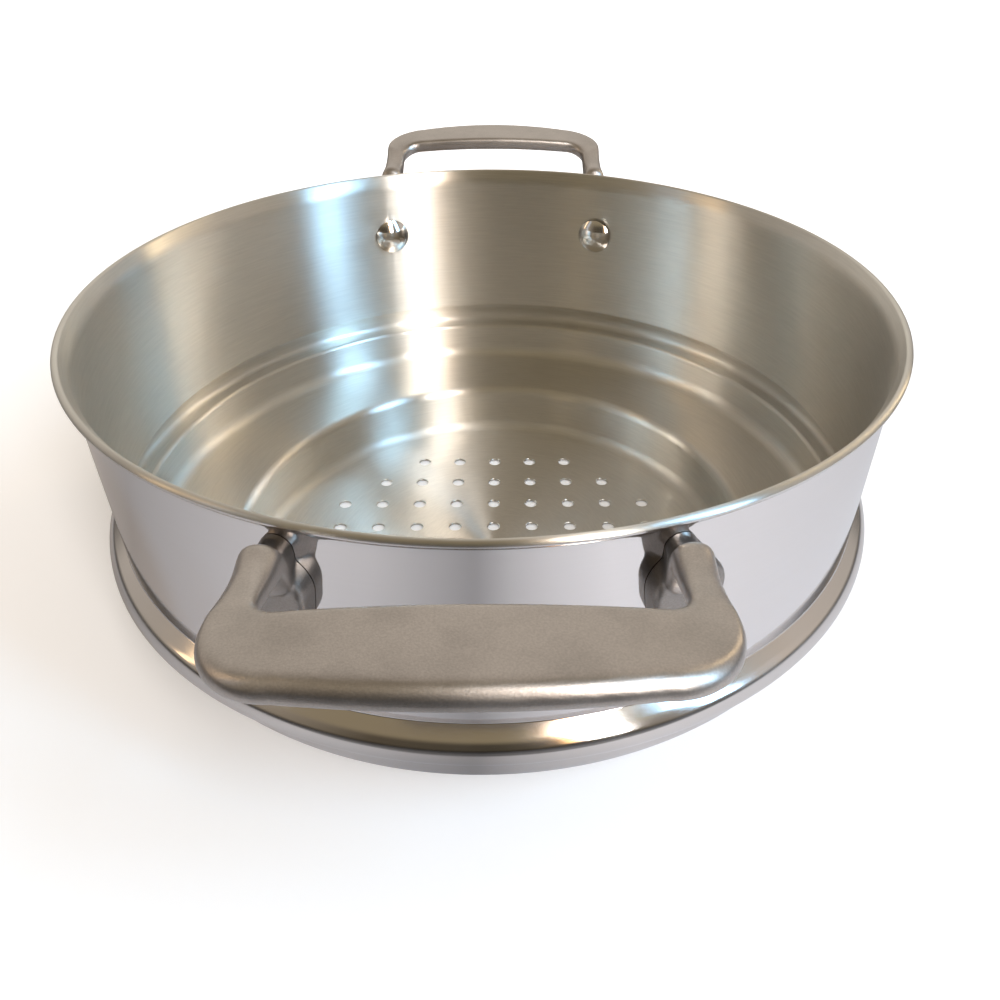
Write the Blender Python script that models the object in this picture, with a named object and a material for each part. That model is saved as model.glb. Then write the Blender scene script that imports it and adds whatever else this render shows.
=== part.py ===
"""Stainless steamer basket that stands in the mouth of a saucepan.

A drawn, stepped bowl with a perforated floor, two cast loop handles and the four rivets that hold them.
Metres, +Z up. The basket's axis is Z, the underside of its floor is at Z = 0, and the handles lie along Y.
"""

import itertools
import math

import bmesh
import bpy
from mathutils import Matrix, Vector

# Basket: depths run down from the top of the rim, radii are those of the outer face unless named inner
BASKET_HEIGHT = 0.0886
SHEET = 0.0008
RIM_RADIUS = 0.1031
RIM_ROLL_RADIUS = 0.0009
RIM_ROLL_LENGTH = 0.0004
FLARE_ANGLE = math.radians(28.0)
FLARE_BEND_RADIUS = 0.0056
WALL_INSET = 0.0025
WALL_TAPER = 0.0006
FLANGE_DEPTH = 0.0486
FLANGE_HEIGHT = 0.0093
FLANGE_OVERHANG = 0.0045
FLANGE_SHOULDER_DROP = 0.0035
FLANGE_SHOULDER_RADIUS = 0.0054
FLANGE_NOSE_RADIUS = 0.0023
FLANGE_TUCK_RADIUS = 0.0006
FLANGE_LIP_RADIUS = 0.0008
OUTER_STEP_INSET = 0.0010
OUTER_STEP_CORNER = 0.0046
LEDGE_DEPTH = 0.0690
LEDGE_FALL = 0.0028
INNER_STEP_INNER_RADIUS = 0.0736
INNER_STEP_EDGE = 0.0026
FLOOR_CORNER = 0.0038
BASKET_SIDES = 56

# Steam holes in the floor, on a square grid that keeps a margin to the edge of the floor's flat
HOLE_DIAMETER = 0.0039
HOLE_PITCH = 0.0125
HOLE_FIELD_MARGIN = 0.0110
HOLE_SIDES = 10

# Rivets
RIVET_DEPTH = 0.0202
RIVET_SPACING = 0.0723
RIVET_SHANK_DIAMETER = 0.0048
RIVET_SHANK_INSERTION = 0.0030
RIVET_HEAD_DIAMETER = 0.0113
RIVET_HEAD_HEIGHT = 0.0025
RIVET_HEAD_EDGE = 0.0006
RIVET_DOME_TOP_SHARE = 0.2
RIVET_SIDES = 20

# Handle pads, riveted to the wall. Each outline wraps two rounds, placed from the rivet: inboard, up, radius
PAD_THICKNESS = 0.0045
PAD_EDGE_RADIUS = 0.0012
PAD_FOOT = (-0.0002, 0.0005, 0.0067)
PAD_LOBE = (-0.0002, 0.0043, 0.0072)
PAD_ROUND_STEPS = 12

# Handle arms, from the pads out to the grip
ARM_SPACING = 0.0711
ARM_WIDTH = 0.0071
ARM_THICKNESS = 0.0082
ARM_EDGE_RADIUS = 0.0034
ARM_WAIST = 0.0004
KNUCKLE_REACH = 0.0052
KNUCKLE_RISE = 0.0003

# Handle grip
FINGER_GAP = 0.0190
GRIP_WIDTH = 0.0180
GRIP_SPAN = 0.0776
GRIP_INNER_THICKNESS = 0.0040
GRIP_OUTER_THICKNESS = 0.0056
GRIP_RISE = 0.0052
GRIP_TILT = 0.0012
GRIP_BOW = 0.0054
GRIP_CROWN = 0.0023
GRIP_INNER_EDGE = 0.0013
GRIP_OUTER_EDGE = 0.0027
GRIP_INNER_CORNER = 0.0056
GRIP_OUTER_CORNER = 0.0128

# Root of an arm: reach past the pad's face as a share of the knuckle's, then the top's drop below the knuckle
# and the foot's below the arm as shares of the arm's thickness, and the width as a share of the arm's
ROOT_SHARES = (
    (-1.10, 0.68, 0.95, 0.88),
    (0.14, 0.50, 0.84, 0.92),
    (0.49, 0.28, 0.50, 1.00),
    (0.73, 0.08, 0.24, 1.02),
)

# Places of the handle's rings along an arm and along half the grip, and the most of a side an edge may round
ARM_RING_SHARES = (0, 0.3, 0.65)
GRIP_RING_SHARES = (0.25, 0.5, 0.75, 1)
EDGE_LIMIT_SHARE = 0.48

# Fits
CONTACT_GAP = 0.0003
SHANK_CLEARANCE = 0.0003
CUT_OVERRUN = 0.0020

# Finish of each piece: colour, roughness and metallic value
FINISHES = {
    "brushed_stainless": ((0.62, 0.60, 0.57), 0.28, 1.0),
    "cast_stainless": ((0.40, 0.37, 0.34), 0.48, 1.0),
    "polished_stainless": ((0.70, 0.69, 0.68), 0.14, 1.0),
}


def clear_scene():
    """Remove every object, so that a second run starts from nothing."""
    for item in list(bpy.data.objects):
        bpy.data.objects.remove(item, do_unlink=True)


def material(name):
    """Principled metal with the finish of that name."""
    colour, roughness, metallic = FINISHES[name]
    found = bpy.data.materials.get(name) or bpy.data.materials.new(name)
    found.use_nodes = True
    shader = found.node_tree.nodes["Principled BSDF"]
    shader.inputs["Base Color"].default_value = (*colour, 1.0)
    shader.inputs["Roughness"].default_value = roughness
    shader.inputs["Metallic"].default_value = metallic
    return found


def new_object(name, bm, finish=None):
    """Smooth-shaded object from a bmesh, faces turned outward. One without a finish is a hidden tool."""
    bmesh.ops.recalc_face_normals(bm, faces=bm.faces)
    if bm.calc_volume(signed=True) < 0:
        bmesh.ops.reverse_faces(bm, faces=bm.faces)
    mesh = bpy.data.meshes.new(name)
    bm.to_mesh(mesh)
    bm.free()
    mesh.shade_smooth()
    mesh.set_sharp_from_angle(angle=math.radians(32))
    item = bpy.data.objects.new(name, mesh)
    bpy.context.scene.collection.objects.link(item)
    if finish:
        mesh.materials.append(material(finish))
    else:
        item.hide_render = True
        item.display_type = "WIRE"
    return item


def boolean(item, operation, tool):
    """Cut an object with a tool, or join the tool to it."""
    modifier = item.modifiers.new(tool.name, "BOOLEAN")
    modifier.operation = operation
    modifier.solver = "EXACT"
    modifier.object = tool


def blend(start, end, share):
    """Value or point at a share of the way from start to end."""
    return start + (end - start) * share


def arc(centre, radius, start, end, steps):
    """Points of a circular arc in a plane, ends included."""
    angles = [blend(start, end, step / steps) for step in range(steps + 1)]
    return [centre + radius * Vector((math.cos(angle), math.sin(angle))) for angle in angles]


def bend_path(corners):
    """Path with a round bend at each (point, radius, steps), as points with the unit normal on their left."""
    path = []
    for index, (corner, radius, steps) in enumerate(corners):
        if index in (0, len(corners) - 1):
            first = min(index, len(corners) - 2)
            along = (corners[first + 1][0] - corners[first][0]).normalized()
            path.append((corner, Vector((-along.y, along.x))))
            continue
        before = (corner - corners[index - 1][0]).normalized()
        after = (corners[index + 1][0] - corner).normalized()
        turn = math.atan2(before.cross(after), before.dot(after))
        side = math.copysign(1, turn)
        normal = Vector((-before.y, before.x))
        centre = corner - before * radius * math.tan(abs(turn) / 2) + normal * side * radius
        for step in range(steps + 1):
            turned = Matrix.Rotation(turn * step / steps, 2) @ normal
            path.append((centre - turned * side * radius, turned))
    return path


def loft(bm, sections):
    """Closed solid through equal rings of points, capped at both ends."""
    rings = [[bm.verts.new(point) for point in section] for section in sections]
    for lower, upper in zip(rings, rings[1:]):
        for index, vertex in enumerate(lower):
            following = (index + 1) % len(lower)
            bm.faces.new((vertex, lower[following], upper[following], upper[index]))
    bm.faces.new(rings[0])
    bm.faces.new(rings[-1])


def turn_profile(bm, profile, sides):
    """Closed solid turned about Z from points (radius, height), with flat ends."""
    turns = [2 * math.pi * side / sides for side in range(sides)]
    loft(bm, [[(p.x * math.cos(turn), p.x * math.sin(turn), p.y) for turn in turns] for p in profile])


# Places that follow from the sizes

half_sheet = SHEET / 2
wall_top_radius = RIM_RADIUS - WALL_INSET
wall_bottom_radius = wall_top_radius - WALL_TAPER
flange_top = BASKET_HEIGHT - FLANGE_DEPTH - half_sheet
ledge_height = BASKET_HEIGHT - LEDGE_DEPTH
roll_centre = Vector((RIM_RADIUS - RIM_ROLL_RADIUS, BASKET_HEIGHT - RIM_ROLL_RADIUS))
flare_climb = Vector((math.sin(FLARE_ANGLE), math.cos(FLARE_ANGLE)))
flare_inward = Vector((-flare_climb.y, flare_climb.x))
flare_end = roll_centre + flare_inward * (RIM_ROLL_RADIUS - half_sheet)
flare_corner = flare_end - flare_climb * (flare_end.x - wall_top_radius + half_sheet) / flare_climb.x
floor_flat_radius = INNER_STEP_INNER_RADIUS + half_sheet - FLOOR_CORNER
hole_field_radius = floor_flat_radius - HOLE_FIELD_MARGIN

rivet_height = BASKET_HEIGHT - RIVET_DEPTH
wall_lean = WALL_TAPER / (flare_corner.y - flange_top)
wall_radius_at_rivet = wall_top_radius - wall_lean * (flare_corner.y - rivet_height)
pad_angle = math.asin(RIVET_SPACING / 2 / wall_radius_at_rivet)
pad_face_radius = wall_radius_at_rivet + PAD_THICKNESS

arm_offset = ARM_SPACING / 2
pad_reach = pad_face_radius / math.cos(pad_angle) - arm_offset * math.tan(pad_angle)
knuckle_reach = pad_reach + KNUCKLE_REACH
knuckle_height = BASKET_HEIGHT + KNUCKLE_RISE
grip_inner_reach = RIM_RADIUS + FINGER_GAP
half_span = GRIP_SPAN / 2
arm_inner = arm_offset - ARM_WIDTH / 2
arm_outer = arm_offset + ARM_WIDTH / 2


def sheet_path():
    """Centre line of the basket's sheet, from the flat of the floor out and up to the rim."""
    inner_step = INNER_STEP_INNER_RADIUS + half_sheet
    outer_step = wall_bottom_radius - OUTER_STEP_INSET - half_sheet
    wall_bottom = wall_bottom_radius - half_sheet
    nose = wall_bottom_radius + FLANGE_OVERHANG - half_sheet
    shoulder = flange_top - FLANGE_SHOULDER_DROP
    flange_bottom = flange_top + SHEET - FLANGE_HEIGHT
    return bend_path([
        (Vector(((hole_field_radius + floor_flat_radius) / 2, half_sheet)), 0, 0),
        (Vector((inner_step, half_sheet)), FLOOR_CORNER, 3),
        (Vector((inner_step, ledge_height - LEDGE_FALL)), INNER_STEP_EDGE, 2),
        (Vector((outer_step, ledge_height)), OUTER_STEP_CORNER, 3),
        (Vector((outer_step, flange_bottom)), FLANGE_LIP_RADIUS, 2),
        (Vector((nose, flange_bottom)), FLANGE_NOSE_RADIUS, 3),
        (Vector((nose, shoulder)), FLANGE_SHOULDER_RADIUS, 2),
        (Vector((wall_bottom, flange_top)), FLANGE_TUCK_RADIUS, 2),
        (flare_corner, FLARE_BEND_RADIUS, 2),
        (flare_end, 0, 0),
    ])


def basket_profile():
    """Outline of the sheet: up the inside from the floor, over the rolled rim and back down the outside."""
    path = sheet_path()
    inside = [point + normal * half_sheet for point, normal in path]
    outside = [point - normal * half_sheet for point, normal in path]
    over = arc(roll_centre, RIM_ROLL_RADIUS, math.pi - FLARE_ANGLE, -FLARE_ANGLE, 5)
    under_end = -FLARE_ANGLE - math.acos(SHEET / RIM_ROLL_RADIUS - 1)
    under_centre = roll_centre - flare_climb * RIM_ROLL_LENGTH
    under = arc(under_centre, RIM_ROLL_RADIUS, -FLARE_ANGLE, under_end, 3)
    return inside[:-1] + over + under + outside[-2::-1]


def make_steam_hole_cutter():
    """Cylinders of every steam hole, as one tool."""
    bm = bmesh.new()
    reach = int(hole_field_radius / HOLE_PITCH)
    for column, row in itertools.product(range(-reach, reach + 1), repeat=2):
        x = column * HOLE_PITCH
        y = row * HOLE_PITCH
        if math.hypot(x, y) <= hole_field_radius:
            bmesh.ops.create_cone(
                bm,
                cap_ends=True,
                segments=HOLE_SIDES,
                radius1=HOLE_DIAMETER / 2,
                radius2=HOLE_DIAMETER / 2,
                depth=SHEET + 2 * CUT_OVERRUN,
                matrix=Matrix.Translation((x, y, half_sheet)),
            )
    return new_object("steam_hole_cutter", bm)


def rivet_place(angle):
    """Frame on the wall's outer face at a rivet: Z points outward, Y up. The angle turns from +Y to +X."""
    radial = Vector((math.sin(angle), math.cos(angle), 0))
    place = radial * wall_radius_at_rivet + Vector((0, 0, rivet_height))
    return Matrix.Translation(place) @ radial.to_track_quat("Z", "Y").to_matrix().to_4x4()


def make_rivet_bore(name, angle, start, end):
    """Tool that clears a rivet's shank between two distances out from the wall's outer face."""
    radius = RIVET_SHANK_DIAMETER / 2 + SHANK_CLEARANCE
    bm = bmesh.new()
    turn_profile(bm, [Vector((radius, start)), Vector((radius, end))], RIVET_SIDES)
    bore = new_object(name, bm)
    bore.matrix_world = rivet_place(angle)
    return bore


def make_rivet(name, angle):
    """Domed head inside the wall, with a shank through the wall into the pad."""
    shank = RIVET_SHANK_DIAMETER / 2
    head = RIVET_HEAD_DIAMETER / 2
    wall_curve = head ** 2 / (2 * wall_radius_at_rivet)
    seat = -SHEET - wall_curve - head * wall_lean - CONTACT_GAP
    dome = RIVET_HEAD_HEIGHT - RIVET_HEAD_EDGE
    dome_radius = (head ** 2 + dome ** 2) / (2 * dome)
    dome_centre = Vector((0, seat - RIVET_HEAD_HEIGHT + dome_radius))
    spread = math.asin(head / dome_radius)
    pole = -math.pi / 2
    profile = [Vector((shank, RIVET_SHANK_INSERTION)), Vector((shank, seat)), Vector((head, seat))]
    profile += arc(dome_centre, dome_radius, pole + spread, pole + spread * RIVET_DOME_TOP_SHARE, 4)
    bm = bmesh.new()
    turn_profile(bm, profile, RIVET_SIDES)
    rivet = new_object(name, bm, "polished_stainless")
    rivet.matrix_world = rivet_place(angle)
    return rivet


def make_basket_body():
    """Bowl in one sheet: perforated floor, steps, ledge, flange bead, wall and rolled rim."""
    bm = bmesh.new()
    turn_profile(bm, basket_profile(), BASKET_SIDES)
    body = new_object("basket_body", bm, "brushed_stainless")
    boolean(body, "DIFFERENCE", make_steam_hole_cutter())
    for handle_turn in (0, math.pi):
        for angle in (handle_turn - pad_angle, handle_turn + pad_angle):
            bore = make_rivet_bore("wall_bore", angle, -SHEET - CUT_OVERRUN, CUT_OVERRUN)
            boolean(body, "DIFFERENCE", bore)
    return body


def make_wall_plug():
    """Tool with the outer shape of the wall, a contact gap larger, that fits the pads to it."""
    reach = half_sheet + CONTACT_GAP
    wall = [point - normal * reach for point, normal in sheet_path() if point.y > flange_top]
    bm = bmesh.new()
    turn_profile(bm, wall, BASKET_SIDES)
    return new_object("wall_plug", bm)


def pad_outline(inset, distance, hand):
    """Ring of a pad, wrapped round its two rounds and drawn in by the inset. The hand is 1 or -1 for inboard."""
    rounds = [(Vector((x * hand, y)), radius - inset) for x, y, radius in (PAD_FOOT, PAD_LOBE)]
    chain = rounds + rounds[-2::-1]
    normals = []
    for (centre, radius), (following, other_radius) in zip(chain, chain[1:]):
        step = following - centre
        heading = math.atan2(step.y, step.x)
        normals.append(heading - math.acos((radius - other_radius) / step.length))
    starts = [normals[-1] - 2 * math.pi] + normals[:-1]
    ring = []
    for (centre, radius), start, end in zip(chain, starts, normals):
        turn = (end - start) % (2 * math.pi)
        ring += arc(centre, radius, start, start + turn, PAD_ROUND_STEPS)
    return [(point.x, point.y, distance) for point in ring]


def make_pad(name, angle, hand):
    """Pad of a handle, from inside the wall's face outward to its round-edged outer face."""
    edge_middle = PAD_EDGE_RADIUS * (1 - math.cos(math.pi / 4))
    levels = (
        (0, -CUT_OVERRUN),
        (0, PAD_THICKNESS - PAD_EDGE_RADIUS),
        (edge_middle, PAD_THICKNESS - edge_middle),
        (PAD_EDGE_RADIUS, PAD_THICKNESS),
    )
    bm = bmesh.new()
    loft(bm, [pad_outline(inset, distance, hand) for inset, distance in levels])
    pad = new_object(name, bm)
    pad.matrix_world = rivet_place(angle)
    return pad


def top_height(x, reach):
    """Height of the handle's top face at a place in plan: the arms curve up to the grip, which tilts a little."""
    grip_start = BASKET_HEIGHT + GRIP_RISE - GRIP_CROWN * (x / half_span) ** 2
    if reach > grip_inner_reach:
        return grip_start + GRIP_TILT * (reach - grip_inner_reach) / GRIP_WIDTH
    share = (reach - knuckle_reach) / (grip_inner_reach - knuckle_reach)
    return blend(knuckle_height, grip_start, share ** 2)


def thickness(reach):
    """Thickness of the handle at a reach: it thins from the knuckles to the grip and thickens again across it."""
    if reach > grip_inner_reach:
        share = (reach - grip_inner_reach) / GRIP_WIDTH
        return blend(GRIP_INNER_THICKNESS, GRIP_OUTER_THICKNESS, share)
    share = (reach - knuckle_reach) / (grip_inner_reach - knuckle_reach)
    return blend(ARM_THICKNESS, GRIP_INNER_THICKNESS, share)


def handle_ring(inner, outer, tops, bottoms, edges):
    """Ring of the handle's loft in the upright plane from an inner to an outer place, with round corners."""
    width = (outer - inner).length
    across = (outer - inner).normalized()
    radii = [
        min(edge, EDGE_LIMIT_SHARE * width, EDGE_LIMIT_SHARE * (top - bottom))
        for edge, top, bottom in zip(edges, tops, bottoms)
    ]
    corners = (
        (Vector((0, bottoms[0])), radii[0]),
        (Vector((0, tops[0])), radii[0]),
        (Vector((width, tops[1])), radii[1]),
        (Vector((width, bottoms[1])), radii[1]),
    )
    ring = []
    for index, (corner, radius) in enumerate(corners):
        before = (corner - corners[index - 1][0]).normalized()
        after = (corners[(index + 1) % 4][0] - corner).normalized()
        turn = math.acos(before.dot(after))
        normal = Vector((before.y, -before.x))
        centre = corner - before * radius * math.tan(turn / 2) + normal * radius
        for step in range(4):
            point = centre - Matrix.Rotation(-turn * step / 3, 2) @ normal * radius
            place = inner + across * point.x
            ring.append((place.x, place.y, point.y))
    return ring


def span_ring(inner, outer, edges):
    """Ring of the arm or the grip, whose heights follow from its two places in plan."""
    tops = [top_height(place.x, place.y) for place in (inner, outer)]
    bottoms = [top - thickness(place.y) for top, place in zip(tops, (inner, outer))]
    return handle_ring(inner, outer, tops, bottoms, edges)


def grip_outer_reach(x):
    """Reach of the grip's bowed outer edge."""
    return grip_inner_reach + GRIP_WIDTH - GRIP_BOW * (x / half_span) ** 2


def half_handle_rings():
    """Rings of one half of a handle, from the root of its arm at +X to the middle of the grip."""
    rings = []
    arm_edges = (ARM_EDGE_RADIUS, ARM_EDGE_RADIUS)
    for reach_share, top_share, foot_share, width_share in ROOT_SHARES:
        reach = pad_reach + KNUCKLE_REACH * reach_share
        half_width = ARM_WIDTH / 2 * width_share
        top = knuckle_height - ARM_THICKNESS * top_share
        foot = knuckle_height - ARM_THICKNESS * (1 + foot_share)
        inner = Vector((arm_offset - half_width, reach))
        outer = Vector((arm_offset + half_width, reach))
        edges = [edge * width_share for edge in arm_edges]
        rings.append(handle_ring(inner, outer, (top, top), (foot, foot), edges))

    inner_bend = Vector((arm_inner - GRIP_INNER_CORNER, grip_inner_reach - GRIP_INNER_CORNER))
    outer_bend_x = half_span - GRIP_OUTER_CORNER
    outer_bend = Vector((outer_bend_x, grip_outer_reach(outer_bend_x) - GRIP_OUTER_CORNER))
    for share in ARM_RING_SHARES:
        inner = blend(Vector((arm_inner, knuckle_reach)), Vector((arm_inner, inner_bend.y)), share)
        outer = blend(Vector((arm_outer, knuckle_reach)), Vector((half_span, outer_bend.y)), share)
        outer.x -= ARM_WAIST * math.sin(math.pi * share)
        rings.append(span_ring(inner, outer, arm_edges))

    inner_arc = arc(inner_bend, GRIP_INNER_CORNER, 0, math.pi / 2, 5)
    outer_arc = arc(outer_bend, GRIP_OUTER_CORNER, 0, math.pi / 2, 5)
    for step, (inner, outer) in enumerate(zip(inner_arc, outer_arc)):
        edges = (blend(ARM_EDGE_RADIUS, GRIP_INNER_EDGE, step / 5), GRIP_OUTER_EDGE)
        rings.append(span_ring(inner, outer, edges))

    for share in GRIP_RING_SHARES:
        inner = Vector((blend(inner_bend.x, 0, share), grip_inner_reach))
        outer_x = blend(outer_bend_x, 0, share)
        outer = Vector((outer_x, grip_outer_reach(outer_x)))
        rings.append(span_ring(inner, outer, (GRIP_INNER_EDGE, GRIP_OUTER_EDGE)))
    return rings


def make_handle(name, turn, plug):
    """Cast loop handle: arms and grip in one bar, joined to two pads that fit the wall and take the rivets."""
    half = half_handle_rings()
    mirrored = [[(-x, y, z) for x, y, z in ring] for ring in half[-2::-1]]
    bm = bmesh.new()
    loft(bm, half + mirrored)
    bmesh.ops.rotate(bm, verts=bm.verts, matrix=Matrix.Rotation(-turn, 3, "Z"))
    handle = new_object(name, bm, "cast_stainless")
    for hand in (-1, 1):
        boolean(handle, "UNION", make_pad(name + "_pad", turn + hand * pad_angle, hand))
    boolean(handle, "DIFFERENCE", plug)
    for hand in (-1, 1):
        bore_end = RIVET_SHANK_INSERTION + CONTACT_GAP
        bore = make_rivet_bore(name + "_bore", turn + hand * pad_angle, -CUT_OVERRUN, bore_end)
        boolean(handle, "DIFFERENCE", bore)
    return handle


def main():
    """Build the basket with its handles and rivets."""
    clear_scene()
    make_basket_body()
    plug = make_wall_plug()
    make_handle("back_handle", 0, plug)
    make_handle("front_handle", math.pi, plug)
    make_rivet("rivet_back_left", -pad_angle)
    make_rivet("rivet_back_right", pad_angle)
    make_rivet("rivet_front_left", math.pi + pad_angle)
    make_rivet("rivet_front_right", math.pi - pad_angle)


main()
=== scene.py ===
"""Finer pieces, finishes and a photo stage for a steamer basket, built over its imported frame.

Metres, +Z up. The basket's axis is Z, its floor's underside is at Z = 0, its handles lie along Y.
"""

import itertools
import math

import bmesh
import bpy
from bpy.props import FloatProperty, FloatVectorProperty, IntProperty, PointerProperty
from mathutils import Matrix, Vector


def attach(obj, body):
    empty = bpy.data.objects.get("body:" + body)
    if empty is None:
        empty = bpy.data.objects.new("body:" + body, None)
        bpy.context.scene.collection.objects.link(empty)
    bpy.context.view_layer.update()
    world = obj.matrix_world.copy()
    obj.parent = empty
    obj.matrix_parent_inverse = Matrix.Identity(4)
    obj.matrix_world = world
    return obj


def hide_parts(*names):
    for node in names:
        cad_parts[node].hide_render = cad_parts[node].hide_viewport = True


bl_info = {
    "name": "Steamer Basket",
    "version": (1, 0, 0),
    "blender": (4, 5, 0),
    "location": "3D View > Sidebar > Steamer Basket",
    "description": "Builds a stepped stainless steamer basket with cast loop handles, and a stage",
    "category": "Object",
}

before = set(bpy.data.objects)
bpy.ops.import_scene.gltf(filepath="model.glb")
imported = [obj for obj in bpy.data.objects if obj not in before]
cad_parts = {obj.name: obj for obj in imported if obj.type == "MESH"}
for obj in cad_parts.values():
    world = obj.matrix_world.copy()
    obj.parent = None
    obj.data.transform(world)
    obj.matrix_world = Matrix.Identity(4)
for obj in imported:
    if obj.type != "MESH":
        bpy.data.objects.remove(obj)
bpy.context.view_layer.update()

# Bowl: radii of the outer face, depths from the top of the rim
RIM_ROLL_RADIUS = 0.0009
RIM_ROLL_LENGTH = 0.0004
FLARE_ANGLE = math.radians(28.0)
FLARE_BEND_RADIUS = 0.0056
WALL_INSET = 0.0025
WALL_TAPER = 0.0006
FLANGE_HEIGHT = 0.0093
FLANGE_OVERHANG = 0.0045
FLANGE_SHOULDER_DROP = 0.0035
FLANGE_SHOULDER_RADIUS = 0.0054
FLANGE_NOSE_RADIUS = 0.0023
FLANGE_TUCK_RADIUS = 0.0008
FLANGE_LIP_RADIUS = 0.0008
OUTER_STEP_INSET = 0.0010
OUTER_STEP_CORNER = 0.0046
LEDGE_FALL = 0.0028
INNER_STEP_EDGE = 0.0026
FLOOR_CORNER = 0.0038
HOLE_FIELD_MARGIN = 0.0110
HOLE_EDGE = 0.00018

# Rivets
RIVET_SHANK_DIAMETER = 0.0048
RIVET_SHANK_INSERTION = 0.0030
RIVET_HEAD_EDGE = 0.0006
CONTACT_GAP = 0.0003
SHANK_CLEARANCE = 0.0003
CUT_OVERRUN = 0.0020

# Finishes of the bowl, in the order of its materials
BRUSHED, MIRROR, EDGE = range(3)

# Steps of the round parts (the rim's outer ones are polished), and angles that leave an edge sharp
CREASE_STEPS = 8
BEND_STEPS = 10
CORNER_STEPS = 12
RIM_STEPS = 16
RIM_POLISHED_STEPS = 4
HOLE_SIDES = 28
BORE_SIDES = 32
DOME_STEPS = 24
DOME_FLAT_SHARE = 1 / 40
PAD_ROUND_STEPS = 28
PAD_EDGE_STEPS = 6
BAR_CORNER_STEPS = 7
ROOT_STEPS = 4
ARM_STEPS = 8
GRIP_CORNER_STEPS = 16
GRIP_STEPS = 12
SHEET_SHARP_ANGLE = math.radians(34.0)
SHARP_ANGLE = math.radians(40.0)

# Handle pads: each outline wraps two rounds, placed from the rivet: inboard, up, radius
PAD_THICKNESS = 0.0045
PAD_EDGE_RADIUS = 0.0012
PAD_GAP = 0.00012
PAD_FOOT = (-0.0002, 0.0005, 0.0067)
PAD_LOBE = (-0.0002, 0.0043, 0.0072)

# Handle arms and grip
ARM_EDGE_RADIUS = 0.0034
ARM_WAIST = 0.0004
KNUCKLE_REACH = 0.0052
KNUCKLE_RISE = 0.0003
GRIP_INNER_THICKNESS = 0.0040
GRIP_OUTER_THICKNESS = 0.0056
GRIP_RISE = 0.0052
GRIP_TILT = 0.0012
GRIP_BOW = 0.0054
GRIP_CROWN = 0.0023
GRIP_INNER_EDGE = 0.0013
GRIP_OUTER_EDGE = 0.0027
GRIP_INNER_CORNER = 0.0056
GRIP_OUTER_CORNER = 0.0128
EDGE_LIMIT_SHARE = 0.48
CAST_VOXEL = 0.00042

# Root of an arm: its reach as a share of the knuckle's, its drop and foot as shares of the
# thickness, its width as a share of the arm's
ROOT_SHARES = (
    (-1.10, 0.68, 0.95, 0.88),
    (0.14, 0.50, 0.84, 0.92),
    (0.49, 0.28, 0.50, 1.00),
    (0.73, 0.08, 0.24, 1.02),
    (1.00, 0.00, 0.00, 1.00),
)

# Photo camera: its place, the turn of its gaze from +Y and below the horizon, and its roll
CAMERA_PLACE = Vector((0.00537, -0.21407, 0.17978))
CAMERA_TURN = math.radians(-1.05053)
CAMERA_PITCH = math.radians(36.53750)
CAMERA_ROLL = math.radians(0.36741)
CAMERA_LENS = 31.79125
CAMERA_SHIFT = (-0.0227709, -0.0011283)

# Soft boxes: heading from +Y towards +X, height, and width and height of the light, all in degrees;
# radiance, colour
SOFT_BOX_DISTANCE = 1.5
SOFT_BOXES = {
    "key_box": (152.5, 34.0, 10.5, 48.0, 14.0, "#FFFCFA"),
    "amber_box": (160.5, 32.0, 4.0, 44.0, 2.6, "#FFBE6C"),
    "cool_box": (122.5, 32.0, 9.5, 46.0, 13.0, "#A2D6FF"),
    "cream_box": (58.0, 30.0, 4.2, 40.0, 5.0, "#FFE4B8"),
    "pale_box": (246.0, 30.0, 8.5, 36.0, 0.5, "#C8E0FF"),
    "warm_box": (261.0, 30.0, 4.6, 36.0, 2.5, "#FFD8A8"),
}

# Room light by heading in degrees from +Y towards +X: at eye level, with the photographer in
# front, and above
ROOM_AT_EYE_LEVEL = (
    (-180, "#4B453A"), (-150, "#5C5345"), (-125, "#9A8F7F"), (-70, "#BDB5AC"), (0, "#EDE7DD"),
    (50, "#BAB5AF"), (100, "#DACFC4"), (145, "#6A604F"), (180, "#4B453A"),
)
ROOM_ABOVE = (
    (-180, "#94876D"), (-120, "#9A8D75"), (-60, "#9C9488"), (0, "#D6CDC4"), (60, "#B5ADA1"),
    (120, "#A3977D"), (180, "#94876D"),
)
ROOM_CEILING = "#8A7C64"
HORIZON_TONE = 0.40
HORIZON_TOP = math.sin(math.radians(8.0))
EYE_LEVEL_TOP = math.sin(math.radians(24.0))
ABOVE_START = math.sin(math.radians(46.0))
CEILING_START = math.sin(math.radians(62.0))
CEILING_END = math.sin(math.radians(80.0))

# Table as the steel sees it, in painted light and shade: painted light by heading from the front
# towards +X, the photographer's painted shadow in front, and painted shade that darkens it with the
# distance from the axis
TABLE_PAINTED_LIGHT = (
    (-180, 0.66), (-125, 0.66), (-100, 0.50), (-84, 0.42), (-65, 0.53), (-35, 0.69), (-22, 0.60),
    (-8, 0.40), (-2, 0.31), (5, 0.52), (12, 0.66), (24, 0.82), (60, 0.76), (110, 0.66), (180, 0.66),
)
TABLE_TINT = (0.985, 0.965, 1.0)
SHADE_START = -0.195
SHADE_END = -0.215
SHADE_TONE = 0.28
TABLE_SEEN = 0.24
TABLE_LOST = 0.50
TABLE_FAR_SHADE_TONE = 0.30

# Table as the camera sees it: reach and strength of the glow that keeps it white; mirrors get less
OPEN_TABLE = (0.10, 0.45)
OPEN_TABLE_GLOW = (0.25, 0.90)
MIRRORED_GLOW = 0.02
WHITE = (1.0, 1.0, 1.0, 1.0)

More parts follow.
